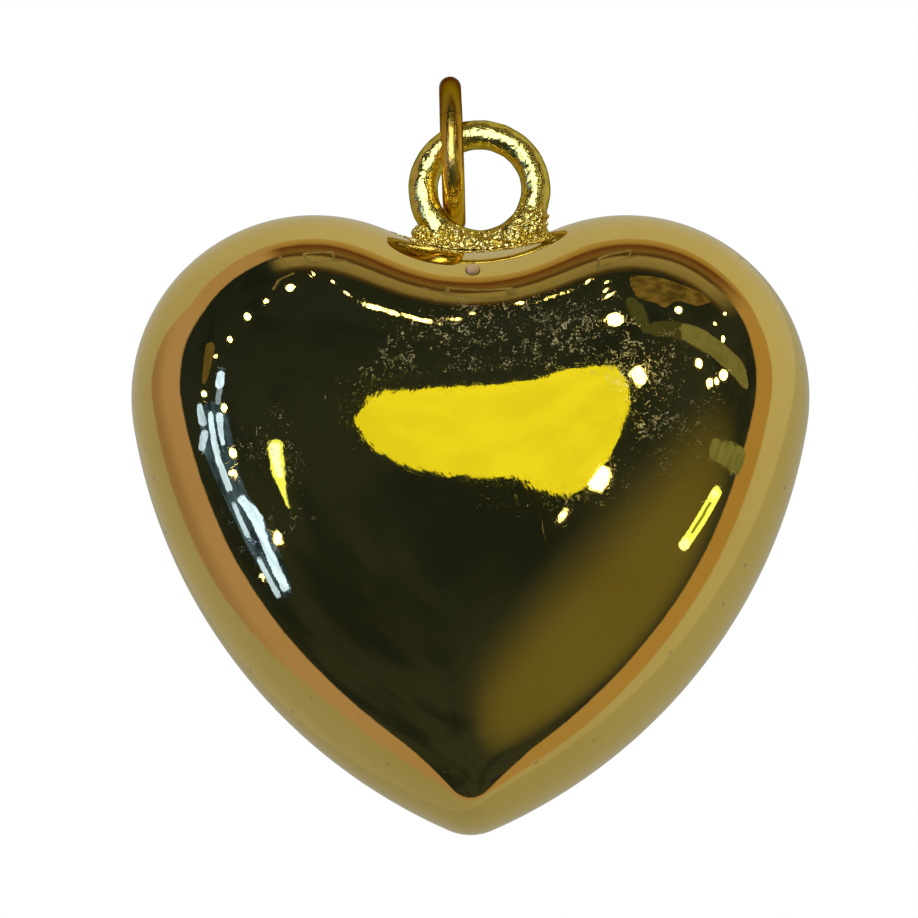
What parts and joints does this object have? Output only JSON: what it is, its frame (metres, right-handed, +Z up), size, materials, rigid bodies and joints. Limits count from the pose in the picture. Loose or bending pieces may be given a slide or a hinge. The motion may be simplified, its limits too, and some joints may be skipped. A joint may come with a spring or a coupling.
{
  "type": "puffy heart pendant",
  "caption": "Hollow puffed heart pendant in gold-plated brass, with a soldered hanging loop in its dip and a split jump ring linked through the loop.",
  "frame": {"origin": "centre of the hanging loop, where the pendant hangs", "axes": "+Z up from the heart's tip to the jump ring, +X to the right seen from the front, and the front shell bulges toward -Y"},
  "size_m": [0.03, 0.0126, 0.0345],
  "materials": {
    "gold_plate": "polished gold plate, mirror bright, with fine scratches",
    "gold_wire": "gold-plated wire, bright, slightly uneven",
    "plated_solder": "plated over rough, grainy solder"
  },
  "bodies": {
    "heart": {"front_shell": "gold_plate", "back_shell": "gold_plate", "hanging_loop": "gold_wire", "loop_solder": "plated_solder"},
    "jump_ring": {"jump_ring": "gold_wire"}
  },
  "joints": [
    {"name": "ring_swing", "type": "hinge", "parent": "heart", "child": "jump_ring", "pos_m": [-0.00122, 0, 0.00218], "axis": [0.8721, 0, 0.4894], "range_deg": [0, 200]}
  ]
}
